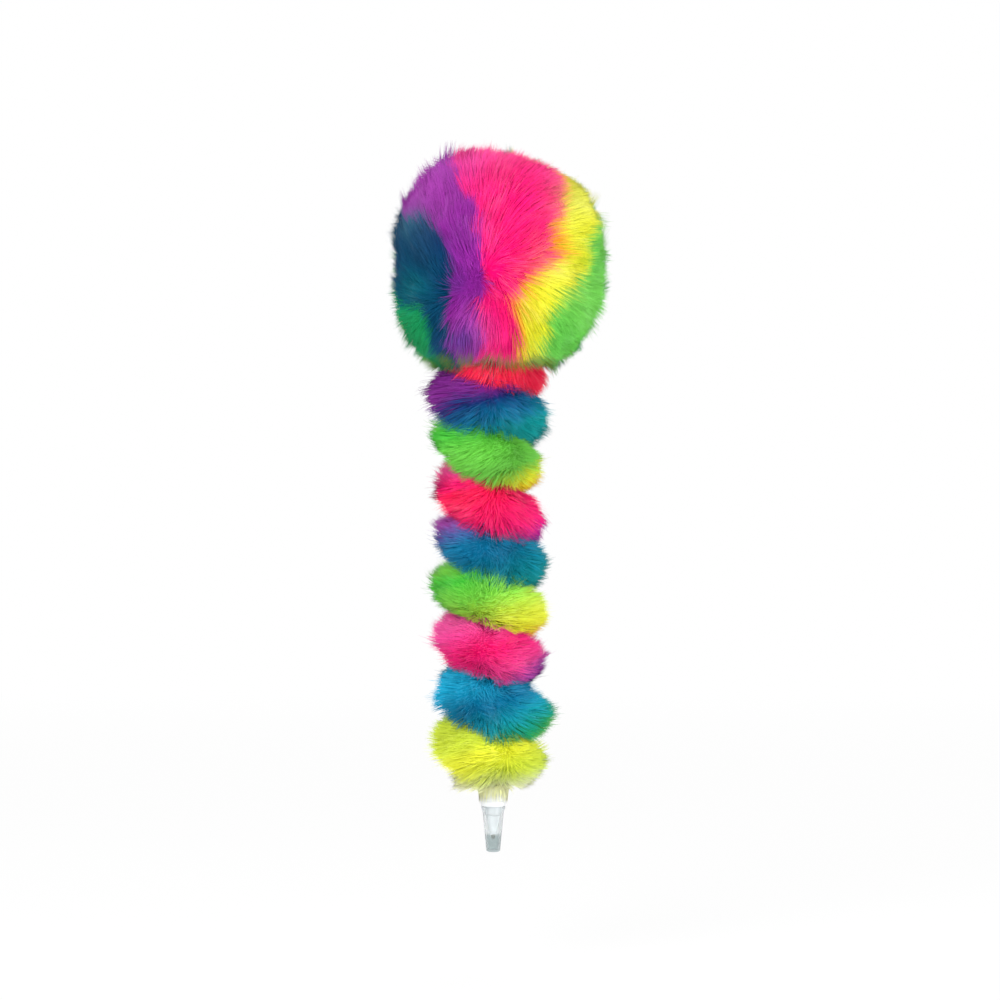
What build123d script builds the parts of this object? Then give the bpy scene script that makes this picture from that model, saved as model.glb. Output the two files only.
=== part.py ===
from build123d import *
import os
from math import ceil, cos, pi, sin, tau

# Novelty plush ballpoint pen, dressed like a small duster: a rainbow pompom on top, a strip of
# long-pile plush wound round the barrel, and a nib cap pulled over the nose.
# Millimetres. The pen stands point down on +Z, and the origin is the centre of the flat closed
# end of its cap.

# ---- Driving dimensions ---------------------------------------------------------------------

# Barrel: a tube with a slightly thicker bare neck that the plush strip butts against
neck_radius = 4.85
neck_length = 5.6
barrel_radius = 4.6
barrel_bore_radius = 3.55
barrel_bottom = 18.9
barrel_top_below_pompom_centre = 9.0
barrel_mouth_chamfer = 0.3

# Right-hand thread between nose cone and barrel
thread_pitch = 1.0
thread_depth = 0.45
thread_root_half_width = 0.36
thread_crest_half_width = 0.1
thread_overlap = 0.1
thread_turns = 5
thread_start = 1.0
thread_runout = 1.0

# Nose cone
nose_front = 6.5
nose_front_radius = 1.38
nose_flank_top = 13.4
nose_flank_radius = 2.68
nose_collar_height = 2.0
nose_collar_rim_radius = 4.42
nose_collar_bulge_depth = 0.05
nose_spigot_length = 7.5
nose_point_land = 2.1
nose_rear_bore_radius = 2.4
nose_rear_bore_start = 15.0

# Nib cap
cap_end_radius = 2.5
cap_end_fillet = 0.7
cap_neck_radius = 3.88
cap_neck_height = 14.6
cap_rim_radius = 4.42
cap_rim_land = 0.6
cap_length = 16.8
cap_wall = 0.75
cap_floor = 1.0
cap_seat_radius = 3.2
cap_seat_length = 3.0

# Refill
writing_ball_radius = 0.5
point_rim_radius = 0.62
point_shank_radius = 1.15
point_cone_length = 2.0
point_length_out = 1.9
point_flange_length = 1.0
point_tail_length = 3.2
ink_feed_radius = 0.2
ink_channel_radius = 0.45
refill_tube_radius = 1.5
refill_tube_bore_radius = 1.0
refill_tube_length = 130.0
refill_air_length = 18.8
ink_follower_length = 4.0

# Barrel end plug
plug_spigot_length = 8.0
plug_flange_length = 1.5
plug_chamfer = 0.4

# Plush strip wound left-handed round the barrel
wrap_pitch = 18.5
wrap_top_in_pompom = 3.0
wrap_centre_at_right = 33.0
wrap_backing_thickness = 0.8
wrap_backing_width = 17.0
wrap_pile_crown_radius = 20.0
wrap_pile_edge_radius = 15.4
wrap_pile_gap = 0.8
wrap_hem_radius = 11.0
wrap_hem_rise = 8.0
glue_film = 0.1
glue_ring_length = 3.0

# Pompom: a squarish ball, round in plan, that sits a little to one side of the barrel
pompom_radius = 37.4
pompom_half_height = 40.8
pompom_centre_height = 217.0
pompom_lean = 2.3
pompom_squareness = 2.3
pompom_pile_length = 14.8
pompom_cover_thickness = 0.9
pompom_press_turn = 66.5
pompom_press_depth = 3.4
pompom_press_radius = 60.0
pompom_seam_turn = -12.0
pompom_seam_gap = 0.3
outline_steps = 20

# Sewing thread
stitch_radius = 0.22
stitch_length = 2.6
stitch_count = 36
neck_angle = 0.35
gather_thread_radius = 0.45
neck_glue_length = 3.0

# Clearances
running_clearance = 0.06
thread_clearance = 0.08
seat_clearance = 0.05
soft_clearance = 0.1
pile_root_gap = 0.6

# ---- Sizes that follow ------------------------------------------------------------------------

pompom_bottom = pompom_centre_height - pompom_half_height
barrel_top = pompom_centre_height - barrel_top_below_pompom_centre
wrap_top = pompom_bottom + wrap_top_in_pompom

thread_core_radius = barrel_bore_radius - thread_clearance
thread_height = thread_turns * thread_pitch
nose_shoulder = barrel_bottom - nose_collar_height
nose_seat_radius = cap_seat_radius - seat_clearance
nose_seat_bottom = cap_length - cap_seat_length + seat_clearance
nose_point_bore = point_shank_radius + running_clearance
nose_tube_bore = refill_tube_radius + running_clearance
nose_step = nose_front + nose_point_land
nose_top = barrel_bottom + nose_spigot_length

point_rim = nose_front - point_length_out + writing_ball_radius / 2
ball_centre = nose_front - point_length_out + writing_ball_radius
point_flange_bottom = nose_step + seat_clearance
refill_tube_bottom = point_flange_bottom + point_flange_length
refill_tube_top = refill_tube_bottom + refill_tube_length
ink_bottom = refill_tube_bottom + point_tail_length
ink_top = refill_tube_top - refill_air_length - ink_follower_length

wrap_bottom = barrel_bottom + neck_length + soft_clearance
backing_inner_radius = barrel_radius + glue_film
backing_outer_radius = backing_inner_radius + wrap_backing_thickness
pile_inner_radius = backing_outer_radius + seat_clearance
pile_half_width = (wrap_pitch - wrap_pile_gap) / 2
helix_start = wrap_centre_at_right - wrap_pitch
strip_turns = ceil((wrap_top + wrap_pitch / 2 - helix_start) / wrap_pitch)

plug_top = barrel_top + plug_flange_length
filling_inset = pompom_pile_length + pompom_cover_thickness + seat_clearance
cover_bottom = pompom_bottom + pompom_pile_length
cover_hole_radius = barrel_radius + gather_thread_radius
pile_bottom_cut = wrap_top + soft_clearance
pile_hole_radius = backing_outer_radius + soft_clearance
stitch_inset = pompom_pile_length - stitch_radius - seat_clearance
gather_radius = barrel_radius + gather_thread_radius + soft_clearance
gather_height = cover_bottom - gather_thread_radius - soft_clearance
neck_glue_bottom = gather_height - gather_thread_radius - soft_clearance - neck_glue_length

os.makedirs("parts", exist_ok=True)


def thread_profile(root_radius, crest_radius, clearance):
    """Trapezium of a thread ridge, in the XZ plane, sunk a little into its core."""
    root_half = thread_root_half_width + clearance
    crest_half = thread_crest_half_width + clearance
    return [
        (root_radius - thread_overlap, thread_start - root_half),
        (crest_radius, thread_start - crest_half),
        (crest_radius, thread_start + crest_half),
        (root_radius - thread_overlap, thread_start + root_half),
    ]


def plush_point(inset, angle):
    """Point of the pompom's outline, drawn in by an even inset, at an angle from level."""
    power = 2 / pompom_squareness
    across = (pompom_radius - inset) * abs(cos(angle)) ** power
    along = (pompom_half_height - inset) * abs(sin(angle)) ** power
    return (across if cos(angle) > 0 else -across), (along if sin(angle) > 0 else -along)


def plush_outline(inset):
    """Points of the pompom's half outline, from its lowest point to its highest."""
    angles = [pi * (step / outline_steps - 0.5) for step in range(1, outline_steps)]
    lowest = (0, inset - pompom_half_height)
    highest = (0, pompom_half_height - inset)
    return [lowest, *(plush_point(inset, angle) for angle in angles), highest]


pompom_section = Plane(
    origin=(pompom_lean, 0, pompom_centre_height), x_dir=(1, 0, 0), z_dir=(0, -1, 0)
)
pompom_axis = Axis(pompom_section.origin, (0, 0, 1))
pressed_across, pressed_along = plush_point(0, pompom_press_turn * pi / 180)
pressed_side = Vector(pressed_across, 0, pressed_along)
press_reach = pressed_side.length - pompom_press_depth - pompom_press_radius
press_centre = pompom_section.origin + pressed_side.normalized() * press_reach
seam_angle = pompom_seam_turn * pi / 180
seam_plane = Plane(
    origin=pompom_section.origin,
    x_dir=(-sin(seam_angle), cos(seam_angle), 0),
    z_dir=(cos(seam_angle), sin(seam_angle), 0),
)


# ---- Pen body ---------------------------------------------------------------------------------

# Female thread groove, run out through the barrel's mouth
with BuildPart() as barrel_groove:
    with BuildLine() as groove_path:
        Helix(
            pitch=thread_pitch,
            height=thread_height + thread_start + 2 * thread_runout,
            radius=barrel_bore_radius,
            center=(0, 0, barrel_bottom - thread_runout),
        )
    with BuildSketch(Plane.XZ):
        with BuildLine():
            Polyline(
                [
                    (radius, barrel_bottom - thread_runout - thread_start + height)
                    for radius, height in thread_profile(
                        barrel_bore_radius, barrel_bore_radius + thread_depth, seat_clearance
                    )
                ],
                close=True,
            )
        make_face()
    sweep(path=groove_path.line, is_frenet=True)

with BuildPart() as barrel:
    with BuildSketch(Plane.XY.offset(barrel_bottom)):
        Circle(barrel_radius)
    extrude(amount=barrel_top - barrel_bottom)
    with BuildSketch(Plane.XY.offset(barrel_bottom)):
        Circle(neck_radius)
    extrude(amount=neck_length)
    with BuildSketch(Plane.XY.offset(barrel_bottom)):
        Circle(barrel_bore_radius)
    extrude(amount=barrel_top - barrel_bottom, mode=Mode.SUBTRACT)
    chamfer(
        barrel.edges().filter_by(GeomType.CIRCLE).group_by(Axis.Z)[0].sort_by(SortBy.RADIUS)[0],
        length=barrel_mouth_chamfer,
    )
    add(barrel_groove.part, mode=Mode.SUBTRACT)
barrel.part.label = "barrel"
export_step(barrel.part, "parts/barrel.step")

with BuildPart() as barrel_end_plug:
    with BuildSketch(Plane.XY.offset(barrel_top - plug_spigot_length)):
        Circle(barrel_bore_radius - seat_clearance)
    extrude(amount=plug_spigot_length)
    with BuildSketch(Plane.XY.offset(barrel_top)):
        Circle(barrel_radius)
    extrude(amount=plug_flange_length)
    chamfer(
        barrel_end_plug.edges().filter_by(GeomType.CIRCLE).group_by(Axis.Z)[-1],
        length=plug_chamfer,
    )
barrel_end_plug.part.label = "barrel_end_plug"
export_step(barrel_end_plug.part, "parts/barrel_end_plug.step")

# Male thread ridge on the nose cone's spigot
with BuildPart() as nose_ridge:
    with BuildLine() as ridge_path:
        Helix(
            pitch=thread_pitch,
            height=thread_height,
            radius=thread_core_radius,
            center=(0, 0, barrel_bottom + thread_start),
        )
    with BuildSketch(Plane.XZ):
        with BuildLine():
            Polyline(
                [
                    (radius, barrel_bottom + height)
                    for radius, height in thread_profile(
                        thread_core_radius, thread_core_radius + thread_depth, 0
                    )
                ],
                close=True,
            )
        make_face()
    sweep(path=ridge_path.line, is_frenet=True)

with BuildPart() as nose_cone:
    with BuildSketch(Plane.XZ):
        with BuildLine():
            Polyline(
                (nose_point_bore, nose_front),
                (nose_front_radius, nose_front),
                (nose_flank_radius, nose_flank_top),
                (nose_seat_radius - seat_clearance, nose_seat_bottom),
                (nose_seat_radius, nose_seat_bottom + seat_clearance),
                (nose_seat_radius, nose_shoulder),
                (nose_collar_rim_radius, nose_shoulder),
            )
            SagittaArc(
                (nose_collar_rim_radius, nose_shoulder),
                (neck_radius, barrel_bottom - seat_clearance),
                -nose_collar_bulge_depth,
            )
            Polyline(
                (neck_radius, barrel_bottom - seat_clearance),
                (thread_core_radius, barrel_bottom - seat_clearance),
                (thread_core_radius, nose_top),
                (nose_rear_bore_radius, nose_top),
                (nose_rear_bore_radius, nose_rear_bore_start),
                (nose_tube_bore, nose_rear_bore_start),
                (nose_tube_bore, nose_step),
                (nose_point_bore, nose_step),
                (nose_point_bore, nose_front),
            )
        make_face()
    revolve(axis=Axis.Z)
    add(nose_ridge.part)
nose_cone.part.label = "nose_cone"
export_step(nose_cone.part, "parts/nose_cone.step")

with BuildPart() as tip_cap:
    with BuildSketch(Plane.XZ):
        with BuildLine():
            Polyline(
                (0, 0),
                (cap_end_radius, 0),
                (cap_neck_radius, cap_neck_height),
                (cap_rim_radius, cap_length - cap_rim_land),
                (cap_rim_radius, cap_length),
                (cap_seat_radius, cap_length),
                (cap_seat_radius, cap_length - cap_seat_length),
                (cap_neck_radius - cap_wall, cap_length - cap_seat_length),
                (cap_end_radius - cap_wall, cap_floor),
                (0, cap_floor),
                close=True,
            )
        make_face()
    revolve(axis=Axis.Z)
    fillet(
        tip_cap.edges().filter_by(GeomType.CIRCLE).group_by(Axis.Z)[0],
        radius=cap_end_fillet,
    )
tip_cap.part.label = "tip_cap"
export_step(tip_cap.part, "parts/tip_cap.step")

# ---- Refill -----------------------------------------------------------------------------------

with BuildPart() as writing_ball:
    with Locations((0, 0, ball_centre)):
        Sphere(writing_ball_radius)
writing_ball.part.label = "writing_ball"
export_step(writing_ball.part, "parts/writing_ball.step")

with BuildPart() as refill_point:
    with BuildSketch(Plane.XZ):
        with BuildLine():
            Polyline(
                (0, point_rim),
                (point_rim_radius, point_rim),
                (point_shank_radius, point_rim + point_cone_length),
                (point_shank_radius, point_flange_bottom),
                (refill_tube_radius, point_flange_bottom),
                (refill_tube_radius, refill_tube_bottom),
                (refill_tube_bore_radius, refill_tube_bottom),
                (refill_tube_bore_radius, ink_bottom),
                (0, ink_bottom),
                close=True,
            )
        make_face()
    revolve(axis=Axis.Z)
    with Locations((0, 0, ball_centre)):
        Sphere(writing_ball_radius + running_clearance / 2, mode=Mode.SUBTRACT)
    with BuildSketch(Plane.XY.offset(ball_centre)):
        Circle(ink_feed_radius)
    extrude(amount=ink_bottom - ball_centre, mode=Mode.SUBTRACT)
    with BuildSketch(Plane.XY.offset(nose_step)):
        Circle(ink_channel_radius)
    extrude(amount=ink_bottom - nose_step, mode=Mode.SUBTRACT)
refill_point.part.label = "refill_point"
export_step(refill_point.part, "parts/refill_point.step")

with BuildPart() as refill_tube:
    with BuildSketch(Plane.XY.offset(refill_tube_bottom)):
        Circle(refill_tube_radius)
        Circle(refill_tube_bore_radius, mode=Mode.SUBTRACT)
    extrude(amount=refill_tube_length)
refill_tube.part.label = "refill_tube"
export_step(refill_tube.part, "parts/refill_tube.step")

with BuildPart() as ink_column:
    with BuildSketch(Plane.XY.offset(ink_bottom)):
        Circle(refill_tube_bore_radius - seat_clearance)
    extrude(amount=ink_top - ink_bottom)
ink_column.part.label = "ink_column"
export_step(ink_column.part, "parts/ink_column.step")

with BuildPart() as ink_follower:
    with BuildSketch(Plane.XY.offset(ink_top)):
        Circle(refill_tube_bore_radius - seat_clearance)
    extrude(amount=ink_follower_length)
ink_follower.part.label = "ink_follower"
export_step(ink_follower.part, "parts/ink_follower.step")

# ---- Plush strip ------------------------------------------------------------------------------

# The line that the strip's middle follows, turn by turn
with BuildLine() as strip_path:
    for turn in range(strip_turns):
        Helix(
            pitch=wrap_pitch,
            height=wrap_pitch,
            radius=backing_inner_radius,
            center=(0, 0, helix_start + turn * wrap_pitch),
            lefthand=True,
        )
strip_wire = strip_path.wires()[0]

# The backing is wound on a cylinder and trimmed square at both ends
with BuildPart() as backing_room:
    with BuildSketch(Plane.XY.offset(wrap_bottom)):
        Circle(backing_outer_radius)
        Circle(backing_inner_radius, mode=Mode.SUBTRACT)
    extrude(amount=wrap_top - wrap_bottom)

with BuildPart() as wrap_backing:
    with BuildSketch(Plane.XZ):
        with Locations(((backing_inner_radius + backing_outer_radius) / 2, helix_start)):
            Rectangle(2 * wrap_backing_thickness, wrap_backing_width)
    sweep(path=strip_wire, is_frenet=True)
    add(backing_room.part, mode=Mode.INTERSECT)
wrap_backing.part.label = "wrap_backing"
export_step(wrap_backing.part, "parts/wrap_backing.step")

# The pile fans out from the backing, and is drawn in to a hem at the bottom
with BuildPart() as pile_room:
    with BuildSketch(Plane.XZ):
        with BuildLine():
            Polyline(
                (pile_inner_radius, wrap_bottom),
                (wrap_hem_radius, wrap_bottom),
                (wrap_pile_crown_radius + wrap_pile_gap, wrap_bottom + wrap_hem_rise),
                (wrap_pile_crown_radius + wrap_pile_gap, wrap_top),
                (pile_inner_radius, wrap_top),
                close=True,
            )
        make_face()
    revolve(axis=Axis.Z)

with BuildPart() as wrap_pile:
    with BuildSketch(Plane.XZ):
        with BuildLine():
            ThreePointArc(
                (wrap_pile_edge_radius, helix_start - pile_half_width),
                (wrap_pile_crown_radius, helix_start),
                (wrap_pile_edge_radius, helix_start + pile_half_width),
            )
            Polyline(
                (wrap_pile_edge_radius, helix_start + pile_half_width),
                (backing_inner_radius, helix_start + wrap_backing_width / 2),
                (backing_inner_radius, helix_start - wrap_backing_width / 2),
                (wrap_pile_edge_radius, helix_start - pile_half_width),
            )
        make_face()
    sweep(path=strip_wire, is_frenet=True)
    add(pile_room.part, mode=Mode.INTERSECT)
wrap_pile.part.label = "wrap_pile"
export_step(wrap_pile.part, "parts/wrap_pile.step")

# A ring of glue holds each end of the strip
with BuildPart() as lower_glue:
    with BuildSketch(Plane.XY.offset(wrap_bottom)):
        Circle(backing_inner_radius)
        Circle(barrel_radius, mode=Mode.SUBTRACT)
    extrude(amount=glue_ring_length)
lower_glue.part.label = "lower_glue"
export_step(lower_glue.part, "parts/lower_glue.step")

with BuildPart() as upper_glue:
    with BuildSketch(Plane.XY.offset(wrap_top - glue_ring_length)):
        Circle(backing_inner_radius)
        Circle(barrel_radius, mode=Mode.SUBTRACT)
    extrude(amount=glue_ring_length)
upper_glue.part.label = "upper_glue"
export_step(upper_glue.part, "parts/upper_glue.step")

# ---- Pompom -----------------------------------------------------------------------------------

with BuildPart() as pompom_filling:
    with BuildSketch(pompom_section):
        with BuildLine():
            filling_outline = plush_outline(filling_inset)
            Spline(filling_outline, tangents=[(1, 0), (-1, 0)])
            Line(filling_outline[-1], filling_outline[0])
        make_face()
    revolve(axis=pompom_axis)
    with BuildSketch(Plane.XY.offset(cover_bottom)):
        Circle(barrel_radius + seat_clearance)
    extrude(amount=plug_top + seat_clearance - cover_bottom, mode=Mode.SUBTRACT)
pompom_filling.part.label = "pompom_filling"
export_step(pompom_filling.part, "parts/pompom_filling.step")

# The knitted cover and the pile that stands on it, each whole before it is cut at the seam
with BuildPart() as cover_shell:
    with BuildSketch(pompom_section):
        with BuildLine():
            cover_outline = plush_outline(pompom_pile_length)
            lining_outline = plush_outline(pompom_pile_length + pompom_cover_thickness)
            Spline(cover_outline, tangents=[(1, 0), (-1, 0)])
            Line(cover_outline[-1], lining_outline[-1])
            Spline(lining_outline, tangents=[(1, 0), (-1, 0)])
            Line(lining_outline[0], cover_outline[0])
        make_face()
    revolve(axis=pompom_axis)
    with BuildSketch(Plane.XY.offset(cover_bottom - soft_clearance)):
        Circle(cover_hole_radius)
    extrude(amount=pompom_pile_length, mode=Mode.SUBTRACT)

with BuildPart() as pile_shell:
    with BuildSketch(pompom_section):
        with BuildLine():
            tip_outline = plush_outline(0)
            root_outline = plush_outline(pompom_pile_length - pile_root_gap)
            Spline(tip_outline, tangents=[(1, 0), (-1, 0)])
            Line(tip_outline[-1], root_outline[-1])
            Spline(root_outline, tangents=[(1, 0), (-1, 0)])
            Line(root_outline[0], tip_outline[0])
        make_face()
    revolve(axis=pompom_axis)
    split(bisect_by=Plane.XY.offset(pile_bottom_cut), keep=Keep.TOP)
    with BuildSketch(Plane.XY.offset(pile_bottom_cut)):
        Circle(pile_hole_radius)
    extrude(amount=cover_bottom - pile_bottom_cut + pile_root_gap, mode=Mode.SUBTRACT)
    # Its upper right side is pressed flatter than the rest
    with Locations(press_centre):
        Sphere(pompom_press_radius, mode=Mode.INTERSECT)

# The seam runs up the front, over the top and down the back
for side, keep, turn in (("right", Keep.TOP, 1), ("left", Keep.BOTTOM, -1)):
    with BuildPart() as pompom_cover:
        add(cover_shell.part)
        split(bisect_by=seam_plane.offset(turn * soft_clearance / 2), keep=keep)
    pompom_cover.part.label = f"pompom_cover_{side}"
    export_step(pompom_cover.part, f"parts/pompom_cover_{side}.step")

    with BuildPart() as pompom_pile:
        add(pile_shell.part)
        split(bisect_by=seam_plane.offset(turn * pompom_seam_gap / 2), keep=keep)
    pompom_pile.part.label = f"pompom_pile_{side}"
    export_step(pompom_pile.part, f"parts/pompom_pile_{side}.step")

# Stitches cross the seam, all round it but at the neck
with BuildPart() as seam_thread:
    for stitch in range(stitch_count):
        angle = neck_angle + (tau - 2 * neck_angle) * stitch / (stitch_count - 1) - pi / 2
        across, along = plush_point(stitch_inset, angle)
        centre = seam_plane.origin + seam_plane.x_dir * across + Vector(0, 0, along)
        with BuildSketch(Plane(centre, seam_plane.x_dir, seam_plane.z_dir)):
            Circle(stitch_radius)
        extrude(amount=stitch_length / 2, both=True)
seam_thread.part.label = "seam_thread"
export_step(seam_thread.part, "parts/seam_thread.step")

# A drawn-up thread closes the cover on the barrel, above a bead of glue
with BuildPart() as gather_thread:
    with Locations((0, 0, gather_height)):
        Torus(gather_radius, gather_thread_radius)
gather_thread.part.label = "gather_thread"
export_step(gather_thread.part, "parts/gather_thread.step")

with BuildPart() as neck_glue:
    with BuildSketch(Plane.XY.offset(neck_glue_bottom)):
        Circle(backing_outer_radius)
        Circle(barrel_radius, mode=Mode.SUBTRACT)
    extrude(amount=neck_glue_length)
neck_glue.part.label = "neck_glue"
export_step(neck_glue.part, "parts/neck_glue.step")
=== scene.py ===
from math import pi, radians

import bmesh
import bpy
import numpy as np
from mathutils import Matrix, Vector


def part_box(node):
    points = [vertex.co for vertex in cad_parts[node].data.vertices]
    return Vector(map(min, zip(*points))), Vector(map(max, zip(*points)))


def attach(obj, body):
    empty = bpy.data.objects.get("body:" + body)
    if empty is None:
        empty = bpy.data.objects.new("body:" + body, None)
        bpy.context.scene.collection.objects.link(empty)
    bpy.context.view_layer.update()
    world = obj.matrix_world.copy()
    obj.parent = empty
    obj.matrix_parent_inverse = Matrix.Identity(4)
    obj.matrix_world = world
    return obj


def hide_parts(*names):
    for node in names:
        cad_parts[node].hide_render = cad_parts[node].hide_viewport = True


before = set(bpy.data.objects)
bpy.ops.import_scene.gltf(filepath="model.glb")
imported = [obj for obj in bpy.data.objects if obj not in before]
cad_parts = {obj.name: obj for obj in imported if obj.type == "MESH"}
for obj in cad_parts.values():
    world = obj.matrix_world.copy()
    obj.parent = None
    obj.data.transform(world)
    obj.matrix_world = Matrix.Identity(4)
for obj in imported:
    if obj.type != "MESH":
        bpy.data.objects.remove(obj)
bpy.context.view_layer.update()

# Looks of a plush pompom ballpoint pen. Metres, +Z up the pen, -Y is the front.

MM = 0.001


def srgb(red, green, blue):
    """A colour given on the 0 to 255 screen scale, as linear light."""
    value = np.array((red, green, blue)) / 255
    return np.where(value <= 0.04045, value / 12.92, ((value + 0.055) / 1.055) ** 2.4)


# ---- Sizes taken from the frame -----------------------------------------------------------------

PILE_LOW = np.minimum(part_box("pompom_pile_left")[0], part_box("pompom_pile_right")[0])
PILE_HIGH = np.maximum(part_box("pompom_pile_left")[1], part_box("pompom_pile_right")[1])
STRIP_LOW = np.array(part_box("wrap_pile")[0])
NOSE_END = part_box("nose_cone")[0].z
NECK_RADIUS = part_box("barrel")[1].x

# The fur's tips stand a little past the solids that hold its room
FUR_PAST = 3.2 * MM

# Pompom: half-axes of its squarish outline
BALL_ACROSS = 39.9 * MM
BALL_ALONG = 43.1 * MM
BALL_POWER = 2.3
BALL_CENTRE = np.array(
    ((PILE_HIGH[0] + PILE_LOW[0]) / 2, (PILE_HIGH[1] + PILE_LOW[1]) / 2, PILE_HIGH[2] + FUR_PAST - BALL_ALONG)
)

# Strip: one turn passes the right-hand side at STRIP_AT_RIGHT, and it climbs left-handed
STRIP_PITCH = 18.5 * MM
STRIP_AT_RIGHT = 33.0 * MM
STRIP_HALF_WIDTH = 8.6 * MM
STRIP_CORE = 6.2 * MM
STRIP_TOP = BALL_CENTRE[2] - 32 * MM

# ---- Dyes, with the painted light laid over some of them ------------------------------------------

PINK = srgb(243, 8, 118)
LIGHT_PINK = srgb(246, 88, 166)
ROSE = srgb(245, 68, 156)
RED_PINK = srgb(244, 16, 80)
ORANGE = srgb(254, 158, 28)
YELLOW = srgb(238, 238, 42)
PALE_YELLOW = srgb(242, 247, 140)
PALEST_YELLOW = srgb(252, 253, 202)
LIME = srgb(214, 234, 66)
LEAF = srgb(136, 216, 76)
GREEN = srgb(66, 196, 60)
SEA_GREEN = srgb(22, 158, 92)
TEAL = srgb(0, 148, 150)
CYAN = srgb(14, 168, 208)
SEA_BLUE = srgb(2, 118, 160)
BLUE = srgb(0, 68, 104)
NAVY = srgb(16, 40, 110)
PURPLE = srgb(146, 34, 154)
LIGHT_PURPLE = srgb(186, 82, 184)

# Dye edges on the pompom, left to right round it: the dye on the right of each edge, how soft
# the edge is in degrees, and its azimuth from the front in degrees at heights from -1 to 1
BALL_DYES = (
    (PINK, 4, ((-1, -184), (1, -190))),
    (ORANGE, 4, ((-1, -158), (1, -165))),
    (YELLOW, 4, ((-1, -150), (1, -158))),
    (LEAF, 5, ((-1, -122), (1, -135))),
    (SEA_GREEN, 6, ((-1, -98), (1, -116))),
    (BLUE, 5, ((-1, -58), (-0.85, -60), (-0.62, -52), (-0.47, -60), (-0.37, -84), (0, -100), (1, -116))),
    (
        PURPLE,
        4,
        ((-1, -50), (-0.8, -46), (-0.57, -35), (-0.35, -31), (-0.1, -29), (0.13, -31), (0.3, -42),
         (0.43, -84), (1, -116)),
    ),
    (
        PINK,
        2,
        ((-1, -16), (-0.8, -12), (-0.35, -9), (0, -9), (0.25, -13), (0.55, -18), (0.8, -34),
         (0.92, -72), (1, -95)),
    ),
    (
        ORANGE,
        4,
        ((-1, 16), (-0.83, 16), (-0.6, 12), (-0.36, 7), (-0.17, 18), (0, 32), (0.13, 31), (0.25, 28),
         (0.5, 40), (1, 68)),
    ),
    (
        srgb(228, 227, 32),
        3,
        ((-1, 20), (-0.83, 19), (-0.6, 15), (-0.36, 10), (-0.17, 22), (0, 37), (0.13, 36), (0.25, 33),
         (0.5, 45), (1, 74)),
    ),
    (
        srgb(114, 204, 82),
        5,
        ((-1, 36), (-0.73, 27), (-0.44, 33), (-0.25, 42), (-0.02, 60), (0.2, 55), (0.34, 74), (0.6, 96),
         (1, 114)),
    ),
    (SEA_GREEN, 8, ((-1, 92), (1, 118))),
    (BLUE, 6, ((-1, 112), (1, 134))),
    (PURPLE, 5, ((-1, 148), (1, 150))),
    (PINK, 4, ((-1, 176), (1, 170))),
)
# The pompom's lowest fur, drawn in round the pen, is darker teal and olive
BALL_HEM_DYES = (srgb(20, 118, 96), srgb(122, 138, 48))
BALL_HEM_TOP = -0.82

# Uneven dye on the pompom's front, with painted sheen in its light pink, light purple and pale yellow
# patches:
# places across and up it from -1 to 1, reach, share and colour
BALL_DYE_AND_SHEEN_PATCHES = (
    (-0.62, 0.62, 0.30, 0.45, LIGHT_PURPLE),
    (-0.34, 0.18, 0.12, 0.40, srgb(108, 22, 128)),
    (-0.17, 0.15, 0.10, 0.35, LIGHT_PURPLE),
    (-0.22, -0.66, 0.17, 0.55, LIGHT_PURPLE),
    (-0.50, 0.02, 0.13, 0.55, NAVY),
    (-0.44, -0.25, 0.12, 0.45, NAVY),
    (-0.80, 0.30, 0.14, 0.30, TEAL),
    (-0.85, -0.30, 0.16, 0.35, TEAL),
    (-0.42, -0.72, 0.12, 0.50, srgb(20, 70, 150)),
    (0.28, -0.02, 0.18, 0.55, RED_PINK),
    (0.12, -0.45, 0.15, 0.35, RED_PINK),
    (0.00, 0.94, 0.24, 0.28, LIGHT_PINK),
    (0.45, 0.72, 0.16, 0.30, LIGHT_PINK),
    (-0.08, 0.45, 0.08, 0.25, LIGHT_PINK),
    (-0.28, 0.80, 0.16, 0.35, LIGHT_PURPLE),
    (0.74, 0.50, 0.22, 0.50, srgb(240, 243, 120)),
    (0.52, -0.16, 0.16, 0.35, srgb(240, 243, 120)),
    (0.62, -0.72, 0.20, 0.35, GREEN),
    (0.86, 0.05, 0.12, 0.40, GREEN),
)

# Dyes along the strip, by turns from its lowest pass on the right; the pale yellow at its lowest end is
# painted light, as on the hem
STRIP_DYES = (
    (-0.50, PALE_YELLOW), (-0.04, srgb(190, 218, 70)), (0.10, srgb(208, 226, 64)),
    (0.24, srgb(230, 232, 50)), (0.36, srgb(214, 230, 62)), (0.55, LIME), (0.80, LEAF),
    (1.00, SEA_GREEN), (1.14, srgb(8, 156, 176)), (1.25, SEA_BLUE), (1.42, CYAN), (1.60, CYAN),
    (1.78, BLUE), (1.90, PURPLE), (1.96, LIGHT_PURPLE),
    (2.07, ROSE), (2.28, PINK), (2.42, ROSE), (2.52, LIGHT_PINK), (2.66, ROSE), (2.84, ORANGE),
    (2.97, YELLOW), (3.10, srgb(214, 228, 60)), (3.28, LEAF), (3.44, GREEN), (3.55, LEAF),
    (3.78, TEAL), (3.98, TEAL),
    (4.14, srgb(2, 134, 160)), (4.26, SEA_BLUE), (4.36, srgb(8, 118, 160)), (4.44, srgb(90, 96, 172)),
    (4.52, LIGHT_PURPLE), (4.60, LIGHT_PURPLE), (4.84, PURPLE), (4.95, PURPLE),
    (5.06, PINK), (5.36, RED_PINK), (5.46, PINK), (5.55, LIGHT_PINK), (5.80, ORANGE), (5.95, YELLOW),
    (6.07, srgb(112, 200, 74)), (6.30, srgb(112, 208, 72)), (6.45, GREEN), (6.62, LEAF), (6.80, TEAL),
    (7.04, TEAL), (7.16, SEA_BLUE), (7.27, NAVY), (7.34, srgb(122, 34, 134)), (7.70, srgb(122, 34, 134)),
    (7.88, srgb(252, 20, 72)), (8.60, srgb(252, 20, 72)),
)
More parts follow.
